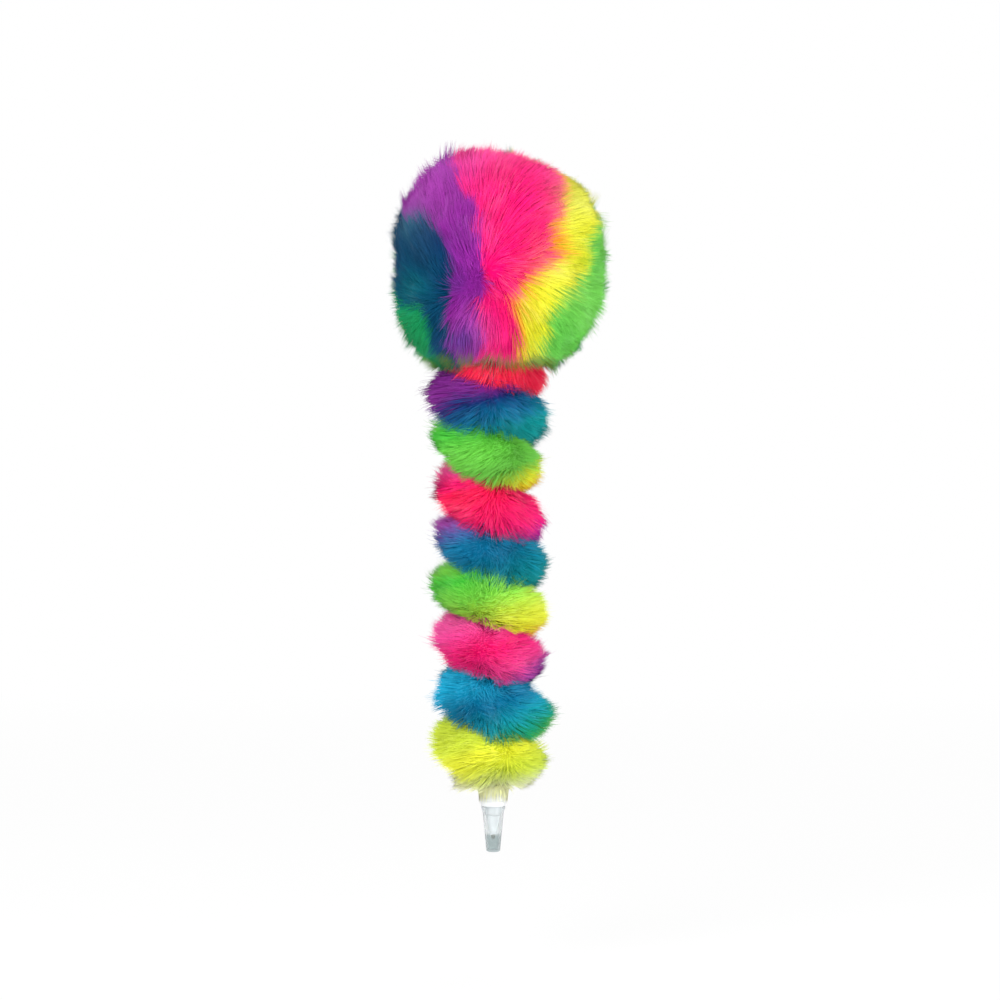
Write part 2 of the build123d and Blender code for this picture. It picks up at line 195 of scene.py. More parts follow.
STRIP_DYE_SLANT = 0.18


def smooth(value):
    """A soft step from 0 to 1."""
    value = np.clip(value, 0, 1)
    return value * value * (3 - 2 * value)


def ball_dye_and_sheen(direction):
    """Colour of the pompom's fur, its dye with patches of painted sheen, by the direction of a root from the
    centre.
    """
    azimuth = np.degrees(np.arctan2(direction[:, 0], -direction[:, 1]))
    height = direction[:, 2] * ball_reach(direction) / BALL_ALONG
    colour = np.tile(BALL_DYES[0][0], (len(direction), 1))
    for dye, soft, edge in BALL_DYES:
        heights, azimuths = zip(*edge)
        past = smooth((azimuth - np.interp(height, heights, azimuths)) / soft + 0.5)
        colour += past[:, None] * (dye - colour)
    for across, up, reach, share, dye in BALL_DYE_AND_SHEEN_PATCHES:
        apart = (direction[:, 0] * ball_reach(direction) / BALL_ACROSS - across) ** 2 + (height - up) ** 2
        patch = np.where(direction[:, 1] < 0, share * np.exp(-apart / reach**2), 0)
        colour += patch[:, None] * (dye - colour)
    uneven = ripple(direction, 0.22, 31)
    hem = 0.85 * smooth((BALL_HEM_TOP + 0.06 * uneven - height) / 0.07)[:, None]
    hem_dye = BALL_HEM_DYES[0] + smooth(0.5 + 0.9 * uneven)[:, None] * (BALL_HEM_DYES[1] - BALL_HEM_DYES[0])
    return colour + hem * (hem_dye - colour)


def strip_dye(turns):
    """Dye of the strip's fur, by turns along it, painted paler at its lowest end."""
    places, dyes = zip(*STRIP_DYES)
    return np.stack([np.interp(turns, places, [dye[i] for dye in dyes]) for i in range(3)], axis=1)


# ---- Fur ------------------------------------------------------------------------------------------


def ripple(points, wavelength, seed):
    """Smooth random field from -1 to 1 over points, the same on every run."""
    chance = np.random.default_rng(seed)
    waves = chance.normal(size=(7, 3))
    waves *= (2 * pi / wavelength) / np.linalg.norm(waves, axis=1)[:, None]
    waves *= chance.uniform(0.6, 1.5, (7, 1))
    return np.sin(points @ waves.T + chance.uniform(0, 2 * pi, 7)).sum(axis=1) / 3.5


def unit(vectors):
    """The vectors at length 1."""
    return vectors / np.maximum(np.linalg.norm(vectors, axis=1), 1e-12)[:, None]


def ball_reach(direction):
    """Distance from the pompom's centre to its outline, along unit directions."""
    level = np.hypot(direction[:, 0], direction[:, 1]) / BALL_ACROSS
    upright = np.abs(direction[:, 2]) / BALL_ALONG
    return (level**BALL_POWER + upright**BALL_POWER) ** (-1 / BALL_POWER)


def placed(name, data):
    """A new object of the scene that shows the data."""
    made = bpy.data.objects.new(name, data)
    bpy.context.collection.objects.link(made)
    return made


STRAND_RINGS = (0.0, 0.38, 0.72)
STRAND_TAPER = (1.0, 0.95, 0.72)
STRAND_SIDES = 3

# Radii in millimetres: strands are uneven, and the stray wisps among them are thinner
STRAND_RADII = (0.07, 0.13)
WISP_RADIUS = 0.055


def strand_radii(wispy, chance):
    """Radii of the strands, thinner for stray wisps."""
    return np.where(wispy, WISP_RADIUS, chance.uniform(*STRAND_RADII, len(wispy))) * MM


def fur_mesh(name, roots, bends, tips, radii, outward, shaded_root, dye, pale):
    """Closed three-sided strands, each a smooth curve from root to tip past its bend point."""
    count = len(roots)
    rings = len(STRAND_RINGS)
    per_strand = rings * STRAND_SIDES + 1
    points = np.empty((count, per_strand, 3))
    normals = np.empty((count, per_strand, 3))
    colours = np.ones((count, per_strand, 4))
    side_ref = unit(np.cross(tips - roots, outward + 0.01))
    for ring, (t, taper) in enumerate(zip(STRAND_RINGS, STRAND_TAPER)):
        middle = (1 - t) ** 2 * roots + 2 * t * (1 - t) * bends + t * t * tips
        tangent = unit((1 - t) * (bends - roots) + t * (tips - bends))
        across = unit(np.cross(tangent, side_ref))
        along = np.cross(tangent, across)
        for side in range(STRAND_SIDES):
            angle = 2 * pi * side / STRAND_SIDES
            offset = np.cos(angle) * across + np.sin(angle) * along
            index = ring * STRAND_SIDES + side
            points[:, index] = middle + offset * (radii * taper)[:, None]
            normals[:, index] = unit(0.85 * outward + 0.35 * offset)
            # Painted shade at the root gives way to the dye by the strand's middle
            colours[:, index, :3] = shaded_root + (dye - shaded_root) * smooth(t / 0.6)
    points[:, -1] = tips
    normals[:, -1] = outward
    # The tip takes the palest colour, its painted sheen
    colours[:, -1, :3] = pale

    first = (np.arange(count) * per_strand)[:, None]
    quads = []
    for ring in range(rings - 1):
        for side in range(STRAND_SIDES):
            a = ring * STRAND_SIDES + side
            b = ring * STRAND_SIDES + (side + 1) % STRAND_SIDES
            quads.append((a, b, b + STRAND_SIDES, a + STRAND_SIDES))
    caps = []
    for side in range(STRAND_SIDES):
        a = (rings - 1) * STRAND_SIDES + side
        b = (rings - 1) * STRAND_SIDES + (side + 1) % STRAND_SIDES
        caps.append((a, b, per_strand - 1))
    quad_corners = (first + np.array(quads).reshape(1, -1)).reshape(count, -1)
    cap_corners = (first + np.array(caps).reshape(1, -1)).reshape(count, -1)
    corners = np.concatenate([quad_corners, cap_corners], axis=1)
    sizes = np.tile([4] * len(quads) + [3] * len(caps), count)

    # Each strand has its own cell of the bake map, with one column for each side
    cells = int(np.ceil(np.sqrt(count)))
    levels = (*STRAND_RINGS, 1.0)
    corner_uv = []
    for ring in range(rings - 1):
        for side in range(STRAND_SIDES):
            corner_uv += [
                (side, levels[ring]), (side + 1, levels[ring]),
                (side + 1, levels[ring + 1]), (side, levels[ring + 1]),
            ]
    for side in range(STRAND_SIDES):
        corner_uv += [(side, levels[-2]), (side + 1, levels[-2]), (side + 0.5, levels[-1])]
    corner_uv = np.array(corner_uv) / (STRAND_SIDES, 1) * 0.9 + 0.05
    place = np.stack([np.arange(count) % cells, np.arange(count) // cells], axis=1)
    uv = ((place[:, None, :] + corner_uv[None]) / cells).reshape(-1, 2)

    mesh = bpy.data.meshes.new(name)
    mesh.vertices.add(count * per_strand)
    mesh.vertices.foreach_set("co", points.astype(np.float32).ravel())
    mesh.loops.add(corners.size)
    mesh.loops.foreach_set("vertex_index", corners.astype(np.int32).ravel())
    mesh.polygons.add(len(sizes))
    starts = np.concatenate([[0], np.cumsum(sizes)[:-1]])
    mesh.polygons.foreach_set("loop_start", starts.astype(np.int32))
    mesh.polygons.foreach_set("use_smooth", np.ones(len(sizes), dtype=bool))
    dyed = mesh.attributes.new("dye", "FLOAT_COLOR", "POINT")
    dyed.data.foreach_set("color", colours.astype(np.float32).ravel())
    baked = mesh.uv_layers.new(name="OFBake")
    baked.uv.foreach_set("vector", uv.astype(np.float32).ravel())
    mesh.update(calc_edges=True)
    mesh.validate()
    mesh.normals_split_custom_set_from_vertices(normals.reshape(-1, 3).astype(np.float32))
    return placed(name, mesh)


def strand_colours(dyes, chance, points, root_shade, tip_light, seed):
    """Colours at the root, middle and tip of strands, uneven from tuft to tuft, with painted shade at the
    roots and painted sheen on the tips.
    """
    count = len(dyes)
    tone = 1 + 0.06 * chance.normal(size=count) + 0.08 * ripple(points, 11 * MM, seed)
    dye = np.clip(dyes * np.clip(tone, 0.7, 1.3)[:, None], 0, 1)
    # The roots are painted darker, as shade deep in the fur
    shaded_root = root_shade * dye**1.1
    # Each strand's tip takes an uneven share of painted light, less on dark dyes, and its middle a little of
    # it
    tip_light_share = tip_light * (0.1 + 0.9 * chance.random(count) ** 2) + 0.02 * chance.random(count)
    tip_light_share *= 0.2 + 0.8 * dye.max(axis=1)
    pale = dye + (1 - dye) * tip_light_share[:, None]
    dye = dye + (1 - dye) * (0.3 * tip_light_share)[:, None]
    return shaded_root, dye, pale


# ---- Pompom fur -----------------------------------------------------------------------------------

BALL_TUFTS = 2800
BALL_LOCKS = 620
BALL_TUFT_STRANDS = 40
BALL_TUFT_SPREAD = 0.045
BALL_FUR_DEPTH = 10.0 * MM
BALL_COMB = 0.36
BALL_PIECES = 9
BALL_GATHER = (0.1, 0.6)
BALL_WISPS = 0.03
# How much of the dye the pompom's roots keep under their painted shade
BALL_ROOT_SHADE = 0.88

# How far tips stray from the combing, as a share of the radius: whole locks, tufts and single hairs
LOCK_STRAY = 0.06
TUFT_STRAY = 0.045
HAIR_STRAY = 0.02

# Waves all over the fur, and stronger ones near the front's middle: place across and up, and reach
BALL_SWAY = 0.085
BALL_SWIRL = 0.17
SWIRL_PLACE = (-0.12, -0.1)
SWIRL_REACH = (0.3, 0.42)

# How the pompom's fur is combed, seen from the front: places across and up it from -1 to 1, and the
# way the fur lies there in degrees, with 0 to the right and 90 up. The back is combed alike.
BALL_COMBING = (
    (-0.22, 0.75, 88), (-0.03, 0.62, 62), (0.23, 0.52, 34), (0.47, 0.47, 22), (0.07, 0.22, 32),
    (0.31, 0.25, 16), (0.63, 0.17, 8), (0.79, -0.02, 0), (0.47, -0.12, -8), (0.71, -0.27, -25),
    (0.23, -0.34, -75), (0.42, -0.46, -52), (0.71, -0.64, -50), (-0.06, -0.49, -90), (-0.29, -0.57, -100),
    (-0.53, -0.57, -118), (-0.35, -0.22, 97), (-0.3, 0.3, 96), (-0.24, 0.05, 94), (-0.12, 0.12, 62),
    (-0.1, -0.1, 38), (-0.3, -0.05, 102), (0.1, -0.15, 12),
    (-0.1, -0.3, -78), (-0.2, -0.42, -96), (-0.45, 0.5, 112), (-0.69, 0.5, 125), (-0.78, 0.15, 98),
    (-0.66, -0.05, 104), (-0.9, -0.2, 155), (-0.61, -0.27, 110), (-0.82, -0.49, 225), (-0.67, -0.71, 235),
)
COMBING_REACH = 0.21

# Where the outline swells or dips: its direction in degrees up from the right, its half width in
# degrees, and its share of the radius
BALL_SWELLS = (
    (66, 26, -0.082), (122, 18, 0.022), (182, 14, -0.030),
    (224, 24, 0.064), (15, 18, -0.02), (-26, 14, -0.012),
)


def ball_swell(direction):
    """Share by which the fur stands out past the plain outline."""
    swell = np.zeros(len(direction))
    for angle, width, share in BALL_SWELLS:
        towards = np.array((np.cos(radians(angle)), 0, np.sin(radians(angle))))
        apart = np.degrees(np.arccos(np.clip(direction @ towards, -1, 1)))
        swell += share * np.exp(-((apart / width) ** 2))
    return 1 + swell


def even_directions(count):
    """Directions spread evenly over a sphere, on a golden spiral."""
    index = np.arange(count) + 0.5
    height = 1 - 2 * index / count
    turn = index * pi * (1 + 5**0.5)
    level = np.sqrt(1 - height**2)
    return np.stack([level * np.cos(turn), level * np.sin(turn), height], axis=1)


def combing(direction):
    """The way the fur lies over the pompom, along its surface, shorter where it parts."""
    side = np.where(direction[:, 1] < 0, 1.0, -1.0)
    across = direction[:, 0] * side * ball_reach(direction) / BALL_ACROSS
    up = direction[:, 2] * ball_reach(direction) / BALL_ALONG
    places = np.array(BALL_COMBING)
    apart = (across[:, None] - places[:, 0]) ** 2 + (up[:, None] - places[:, 1]) ** 2
    weight = np.exp(-apart / COMBING_REACH**2) + 1e-9
    lie = np.radians(places[:, 2])
    weight /= weight.sum(axis=1)[:, None]
    way = np.stack([weight @ np.cos(lie), np.zeros(len(direction)), weight @ np.sin(lie)], axis=1)
    way = unit(way) * np.minimum(1.1 * np.linalg.norm(way, axis=1), 1)[:, None]
    way = way * np.stack([side, side, np.ones_like(side)], axis=1)
    return way - direction * np.sum(way * direction, axis=1)[:, None]


def make_ball_fur():
    """The pompom's fur: locks of tufts of strands, whose tips draw together."""
    chance = np.random.default_rng(11)
    locks = unit(even_directions(BALL_LOCKS) + chance.normal(size=(BALL_LOCKS, 3)) * 0.03)
    tufts = unit(even_directions(BALL_TUFTS) + chance.normal(size=(BALL_TUFTS, 3)) * 0.02)
    lock = np.argmax(tufts @ locks.T, axis=1)
    tuft = np.repeat(np.arange(BALL_TUFTS), BALL_TUFT_STRANDS)
    apart = chance.normal(size=(len(tuft), 3)) * BALL_TUFT_SPREAD
    roots = unit(tufts[tuft] + apart)
    keep = roots[:, 2] * ball_reach(roots) + BALL_CENTRE[2] > PILE_LOW[2] - 2 * MM
    roots, tuft, apart = roots[keep], tuft[keep], apart[keep]
    count = len(roots)

    def combed(places, stray):
        """Where hair rooted at the places points."""
        sway = np.stack([ripple(places, 0.42, 21 + i) for i in range(3)], axis=1) * BALL_SWAY
        swirl = np.stack([ripple(places, 0.24, 26 + i) for i in range(3)], axis=1) * BALL_SWIRL
        across = ((places[:, 0] - SWIRL_PLACE[0]) / SWIRL_REACH[0]) ** 2
        up = ((places[:, 2] - SWIRL_PLACE[1]) / SWIRL_REACH[1]) ** 2
        swirl *= np.exp(-across - up)[:, None]
        lie = places + BALL_COMB * combing(places) + sway + swirl
        return unit(lie + chance.normal(size=places.shape) * stray)

    lock_tips = combed(locks, LOCK_STRAY)
    tuft_tips = combed(tufts, TUFT_STRAY)
    tuft_tips = unit(tuft_tips + (lock_tips[lock] - tuft_tips) * chance.uniform(0, 0.5, BALL_TUFTS)[:, None])
    own_tips = combed(roots, HAIR_STRAY)
    gather = chance.uniform(*BALL_GATHER, BALL_TUFTS)[tuft][:, None]
    tips = unit(own_tips + (tuft_tips[tuft] - own_tips) * gather)

    off_middle = np.linalg.norm(apart, axis=1) / BALL_TUFT_SPREAD
    long = 1.012 + 0.03 * chance.normal(size=BALL_TUFTS)[tuft]
    long += 0.02 * chance.normal(size=BALL_LOCKS)[lock[tuft]]
    long -= 0.014 * np.minimum(off_middle, 3) + 0.08 * chance.random(count) ** 2
    wispy = chance.random(count) < BALL_WISPS
    long += np.where(wispy, chance.uniform(0.01, 0.055, count), 0)
    tip_points = BALL_CENTRE + tips * (ball_reach(tips) * ball_swell(tips) * long)[:, None]
    root_points = BALL_CENTRE + roots * (ball_reach(roots) - BALL_FUR_DEPTH)[:, None]
    bend_points = BALL_CENTRE + unit(roots + 0.3 * (tips - roots)) * (
        (ball_reach(roots) - 0.30 * BALL_FUR_DEPTH) * ball_swell(roots)
    )[:, None]
    dyed_at = unit(roots + 0.6 * BALL_COMB * combing(roots) + 0.012 * chance.normal(size=(count, 3)))
    # Painted light on the tips: paler on top of the pompom where the light falls, in streaks, and in some
    # whole locks as sheen
    tip_light = 0.025 + 0.16 * smooth((tips[:, 2] - 0.8) / 0.2) + 0.07 * np.clip(ripple(tips, 0.35, 42), 0, 1)
    tip_light += 0.18 * (chance.random(BALL_LOCKS) ** 4)[lock[tuft]]
    colours = strand_colours(ball_dye_and_sheen(dyed_at), chance, root_points, BALL_ROOT_SHADE, tip_light, 41)
    radii = strand_radii(wispy, chance)
    outward = unit(0.6 * tips + 0.4 * roots)
    strands = (root_points, bend_points, tip_points, radii, outward)
    return split_fur("pompom_fur", BALL_PIECES, strands, colours, chance)


def split_fur(name, pieces, strands, colours, chance):
    """The fur in several layers, each spread over the whole piece."""
    layer = chance.permutation(len(strands[0])) % pieces
    made = []
    for i in range(pieces):
        pick = np.flatnonzero(layer == i)
        pick = pick[np.argsort(colours[1][pick] @ np.array((1.0, 0.6, 0.3)))]
        made.append(fur_mesh(f"{name}_{i + 1}", *(part[pick] for part in (*strands, *colours))))
    return made


# ---- Strip fur ------------------------------------------------------------------------------------

STRIP_TUFTS = 3200
STRIP_TUFT_STRANDS = 34
STRIP_FUR_DEPTH = 10.0 * MM
STRIP_PIECES = 9
STRIP_VALLEY = 7.5 * MM
STRIP_GATHER = (0.1, 0.62)
# How much of the dye the strip's roots keep under their painted shade
STRIP_ROOT_SHADE = 0.82

# The lowest fur: how high its hem and the pass that fans out over the neck reach, and the share of
# hairs laid down on the neck, with where their roots end and how far they hang
HEM_HEIGHT = 9.5 * MM
SKIRT_HEIGHT = 20 * MM
SKIRT_FADE = 8 * MM
LAID_SHARE = 0.6
LAID_ROOTS = 3.2 * MM
LAID_REACH = 6.5 * MM

# Stray wisps: where the valleys between passes begin, and the share of wisps in them and elsewhere
VALLEY_EDGE = 0.72
VALLEY_WISPS = 0.11
CROWN_WISPS = 0.06

# Radius at which places on the strip are laid out for ripple to sample
RIPPLE_RADIUS = 0.02
# Step across the strip from one tuft to the next, as a share of its width, which spreads them evenly
GOLDEN_SHARE = 0.6180339887

# How far the fur's crown stands from the barrel's axis, in millimetres by turns: a whole turn is on
# the right and a half turn on the left
STRIP_CROWNS = (
    (-0.5, 20.0), (0, 20.5), (0.5, 24.0), (1, 23.4), (1.5, 22.8), (2, 20.0), (2.5, 23.0), (3, 20.3),
    (3.5, 24.2), (4, 20.8), (4.5, 23.0), (5, 19.2), (5.5, 23.4), (6, 18.2), (6.5, 24.0), (7, 20.8),
    (7.5, 25.4), (8, 19.5),
)
# How far the fur leans up, in millimetres at its tips, by turns
STRIP_LEANS = (
    (0, 1.0), (0.25, -1.5), (0.5, 0), (0.75, -1.0), (1, 0.4), (1.25, -2.0), (1.5, 0), (2, 3.5),
    (2.25, 0), (2.5, 2.5), (3, 0.6), (3.25, 2.6), (3.5, 3.4), (4, 1.4), (4.25, -2.8), (4.5, 3.5),
    (5, -3.8), (5.25, -4.0), (5.5, 2.6), (6, -0.5), (6.25, -2.2), (6.5, 2.2), (7, -2.0), (7.25, -3.0),
    (7.5, -1.8), (8, -6.0), (8.25, -7.0), (8.5, -3.0),
)


def strip_crown(turns, across):
    """Radius that the fur tips reach, by turns and by the place across the strip from -1 to 1."""
    crown = np.interp(turns, *zip(*STRIP_CROWNS)) * MM
    valley = STRIP_VALLEY + 3.0 * MM * np.cos(2 * pi * turns) ** 2
    return crown - valley * np.abs(np.clip(across + 0.12, -1, 1)) ** 2.4


def strip_lean(turns):
    """How far up the tips stand from their roots."""
    return np.interp(turns, *zip(*STRIP_LEANS)) * MM


def round_barrel(turns, radius, height):
    """Points at a radius and height, where the strip is after some turns."""
    angle = -2 * pi * turns
    return np.stack([radius * np.cos(angle), radius * np.sin(angle), height], axis=1)


def strip_ends(low, high, half_width):
    """Turns at which a band of the strip starts and ends, so that it fills the room between two heights."""
    first = (low - STRIP_AT_RIGHT - half_width) / STRIP_PITCH
    last = (high - STRIP_AT_RIGHT + half_width) / STRIP_PITCH
    return first, last


def strip_hem(height):
    """1 at the strip's lower end, 0 from a little above it on."""
    return smooth((STRIP_LOW[2] + HEM_HEIGHT - height) / HEM_HEIGHT)


def strip_skirt(height):
    """1 on the strip's lowest pass, which fans out over the neck, and 0 above it."""
    return smooth((STRIP_LOW[2] + SKIRT_HEIGHT - height) / SKIRT_FADE)


def make_strip_fur():
    """The strip's fur: tufts of strands over a crown with valleys between its passes."""
    chance = np.random.default_rng(12)
    first, last = strip_ends(STRIP_LOW[2], STRIP_TOP, STRIP_HALF_WIDTH)
    index = np.arange(STRIP_TUFTS) + 0.5
    tuft_turns = first + (last - first) * index / STRIP_TUFTS
    tuft_across = 2 * (index * GOLDEN_SHARE % 1) - 1
    tuft = np.repeat(np.arange(STRIP_TUFTS), STRIP_TUFT_STRANDS)
    count = len(tuft)
    off_turns = chance.normal(size=count)
    off_across = chance.normal(size=count)
    turns = tuft_turns[tuft] + 0.016 * off_turns
    across = np.clip(tuft_across[tuft] + 0.16 * off_across, -1, 1)
    height = STRIP_AT_RIGHT + STRIP_PITCH * turns + STRIP_HALF_WIDTH * across
    keep = (height > STRIP_LOW[2] + 0.3 * MM) & (height < STRIP_TOP)
    tuft, turns, across, height = tuft[keep], turns[keep], across[keep], height[keep]
    off_middle = np.hypot(off_turns[keep], off_across[keep])
    count = len(tuft)

    tuft_height = STRIP_AT_RIGHT + STRIP_PITCH * tuft_turns + STRIP_HALF_WIDTH * tuft_across
    tuft_place = round_barrel(tuft_turns, RIPPLE_RADIUS, tuft_height)
    sway_turns = 0.05 * ripple(tuft_place, 22 * MM, 51) + 0.010 * chance.normal(size=STRIP_TUFTS)
    sway_height = 1.6 * MM * ripple(tuft_place, 13 * MM, 52) + 0.5 * MM * chance.normal(size=STRIP_TUFTS)
    sway_turns *= 1 - 0.5 * strip_skirt(tuft_height)

    def tip_of(turns, across, height, tuft):
        """Turns, radius and height of the tips of hair rooted at a place of the strip."""
        hem = strip_hem(height)
        fan = np.where(across < 0, 4.5 * MM, 3.0 * MM) * across * (1 - 0.4 * np.cos(2 * pi * turns) ** 2)
        radius = strip_crown(turns, across) * (1 - 0.2 * hem)
        tip_height = height + (fan + strip_lean(turns) + sway_height[tuft]) * (1 - hem) - 2.4 * MM * hem
        parted = 0.026 * np.sin(4 * pi * (turns - 0.25) + 1.1 * np.sin(2.3 * pi * turns))
        parted *= 1 + 1.3 * strip_skirt(height)
        return turns + parted + sway_turns[tuft], radius, tip_height

    every_tuft = np.arange(STRIP_TUFTS)
    centre_turns, centre_radius, centre_height = tip_of(tuft_turns, tuft_across, tuft_height, every_tuft)
    tip_turns, tip_radius, tip_height = tip_of(turns, across, height, tuft)
    gather = chance.uniform(*STRIP_GATHER, STRIP_TUFTS)[tuft]
    tip_turns += (centre_turns[tuft] - tip_turns) * gather + 0.006 * chance.normal(size=count)
    tip_height += (centre_height[tuft] - tip_height) * gather + 0.3 * MM * chance.normal(size=count)
    tip_radius += (centre_radius[tuft] - tip_radius) * gather
    long = 1.03 + 0.045 * chance.normal(size=STRIP_TUFTS)[tuft] - 0.03 * np.minimum(off_middle, 2.5)
    long -= 0.12 * chance.random(count) ** 2
    laid = (chance.random(count) < LAID_SHARE) & (height < STRIP_LOW[2] + LAID_ROOTS)
    in_valley = np.abs(across) > VALLEY_EDGE
    wispy = chance.random(count) < np.where(in_valley, VALLEY_WISPS, CROWN_WISPS)
    long += np.where(wispy, chance.uniform(0.03, 0.16, count), 0)
    tip_radius *= long
    tip_radius = np.where(laid, NECK_RADIUS + chance.uniform(0.05, 0.45, count) * MM, tip_radius)
    laid_height = STRIP_LOW[2] - 0.5 * MM - LAID_REACH * chance.random(count) ** 1.3
    tip_height = np.where(laid, laid_height, tip_height)

    tips = round_barrel(tip_turns, tip_radius, tip_height)
    root_radius = np.maximum(np.where(laid, 0, tip_radius - STRIP_FUR_DEPTH), STRIP_CORE)
    roots = round_barrel(turns, root_radius, height)
    bend_turns = turns + 0.25 * (tip_turns - turns)
    bend_radius = 0.25 * root_radius + 0.75 * tip_radius
    bends = round_barrel(bend_turns, bend_radius, height + 0.35 * (tip_height - height))
    dye = strip_dye(turns + STRIP_DYE_SLANT * across + 0.012 * chance.normal(size=count))
    # Painted light: the fur near the hem is made paler, as light shining through its thin lowest hair
    dye += 0.75 * strip_hem(height)[:, None] * (PALEST_YELLOW - dye)
    dye = np.where(laid[:, None], PALE_YELLOW + 0.6 * (PALEST_YELLOW - PALE_YELLOW), dye)
    shaded = wispy & in_valley & (chance.random(count) < 0.6)
    dye = np.where(shaded[:, None], 0.3 * dye, dye)
    # Painted light on the tips: in streaks all over, much paler at the hem, and paler on the laid hairs
    tip_light = 0.08 + 0.85 * strip_hem(height) + 0.5 * laid + 0.12 * np.clip(ripple(tips, 12 * MM, 62), 0, 1)
    colours = strand_colours(dye, chance, roots, STRIP_ROOT_SHADE, tip_light, 61)
    radii = strand_radii(wispy, chance)
    outward = unit(np.stack([np.cos(-2 * pi * turns), np.sin(-2 * pi * turns), 0.75 * across], axis=1))
    return split_fur("strip_fur", STRIP_PIECES, (roots, bends, tips, radii, outward), colours, chance)


# ---- Underfur: the dense layer that shows between the strands, painted darker as shade --------------


def grid_mesh(name, points, colours, wrap_columns):
    """Smooth sheet over a grid of points, joined round its columns if asked."""
    rows, columns = points.shape[:2]
    faces = []
    for row in range(rows - 1):
        for column in range(columns if wrap_columns else columns - 1):
            right = (column + 1) % columns
            faces.append(
                (row * columns + column, row * columns + right,
                 (row + 1) * columns + right, (row + 1) * columns + column)
            )
    mesh = bpy.data.meshes.new(name)
    mesh.from_pydata(points.reshape(-1, 3).tolist(), [], faces)
    dyed = mesh.attributes.new("dye", "FLOAT_COLOR", "POINT")
    rgba = np.ones((rows * columns, 4))
    rgba[:, :3] = colours.reshape(-1, 3)
    dyed.data.foreach_set("color", rgba.astype(np.float32).ravel())
    mesh.polygons.foreach_set("use_smooth", np.ones(len(faces), dtype=bool))
    mesh.update()
    return placed(name, mesh)


UNDERFUR_DEPTH = 4.6 * MM
# Share of the dye that the underfur keeps, painted shade for the dark between the strands
UNDERFUR_SHADE = 0.68


def make_ball_underfur():
    """The pompom's underfur, open only at the very bottom, painted darker as shade."""
    rows, columns = 90, 160
    latitude = np.linspace(-pi / 2 * 0.93, pi / 2, rows)[:, None]
    longitude = np.linspace(0, 2 * pi, columns, endpoint=False)[None]
    direction = np.stack(
        [
            np.cos(latitude) * np.cos(longitude),
            np.cos(latitude) * np.sin(longitude),
            np.sin(latitude) * np.ones_like(longitude),
        ],
        axis=2,
    ).reshape(-1, 3)
    reach = ball_reach(direction) - UNDERFUR_DEPTH
    reach *= ball_swell(direction)
    reach += 0.5 * MM * ripple(direction, 0.16, 71)
    points = BALL_CENTRE + direction * reach[:, None]
    colours = ball_dye_and_sheen(direction) * UNDERFUR_SHADE
    shape = (rows, columns, 3)
    return grid_mesh("pompom_underfur", points.reshape(shape), colours.reshape(shape), True)


def make_strip_underfur():
    """The strip's underfur, painted darker as shade, and darker still in the valleys between its passes."""
    rows, columns = 620, 21
    first, last = strip_ends(STRIP_LOW[2], STRIP_TOP, STRIP_HALF_WIDTH)
    turns = np.repeat(np.linspace(first, last, rows), columns)
    across = np.tile(np.linspace(-1.0, 1.0, columns), rows)
    height = STRIP_AT_RIGHT + STRIP_PITCH * turns + STRIP_PITCH / 2 * across
    low = STRIP_LOW[2] + 0.6 * MM
    hem = strip_hem(height)
    radius = (strip_crown(turns, across) - UNDERFUR_DEPTH - 3.5 * MM * np.abs(across) ** 6) * (1 - 0.5 * hem)
    radius += 0.5 * MM * ripple(round_barrel(turns, RIPPLE_RADIUS, height), 5 * MM, 72)
    radius = np.maximum(radius, STRIP_CORE)
    height = height + 0.45 * strip_lean(turns) * (1 - hem)
    points = round_barrel(turns, radius, np.clip(height, low, STRIP_TOP))
    colours = strip_dye(turns + STRIP_DYE_SLANT * across) * UNDERFUR_SHADE
    # Painted shade in the valleys between the passes
    colours *= (1 - 0.72 * np.abs(across) ** 4)[:, None]
    shape = (rows, columns, 3)
    return grid_mesh("strip_underfur", points.reshape(shape), colours.reshape(shape), False)


# ---- Knitted backing, covers and stuffing under the fur -----------------------------------------------

BACKING_LOW, BACKING_HIGH = (np.array(corner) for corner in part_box("wrap_backing"))
BACKING_OUTER = BACKING_HIGH[0]
BACKING_THICK = 0.8 * MM
BACKING_HEIGHT = 17.0 * MM
# How far the band stops short of its room at each end, in turns
BACKING_SHORT = 0.03
COVER_LOW = np.minimum(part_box("pompom_cover_left")[0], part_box("pompom_cover_right")[0])
COVER_HIGH = np.maximum(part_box("pompom_cover_left")[1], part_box("pompom_cover_right")[1])
COVER_THICK = 0.9 * MM
COVER_SEAM = radians(-12)
COVER_GAP = 0.1 * MM
COVER_LATITUDES = (-66, 89)
STUFFING_LATITUDES = (89.5, -74)
FILLING_LOW, FILLING_HIGH = (np.array(corner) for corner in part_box("pompom_filling"))
BORE_CLEARANCE = 0.05 * MM
BORE_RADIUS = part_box("barrel")[1].x + BORE_CLEARANCE
BORE_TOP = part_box("barrel_end_plug")[1].z + BORE_CLEARANCE
STUFFED_MIDDLE = np.array((BALL_CENTRE[0], BALL_CENTRE[1], (FILLING_LOW[2] + FILLING_HIGH[2]) / 2))


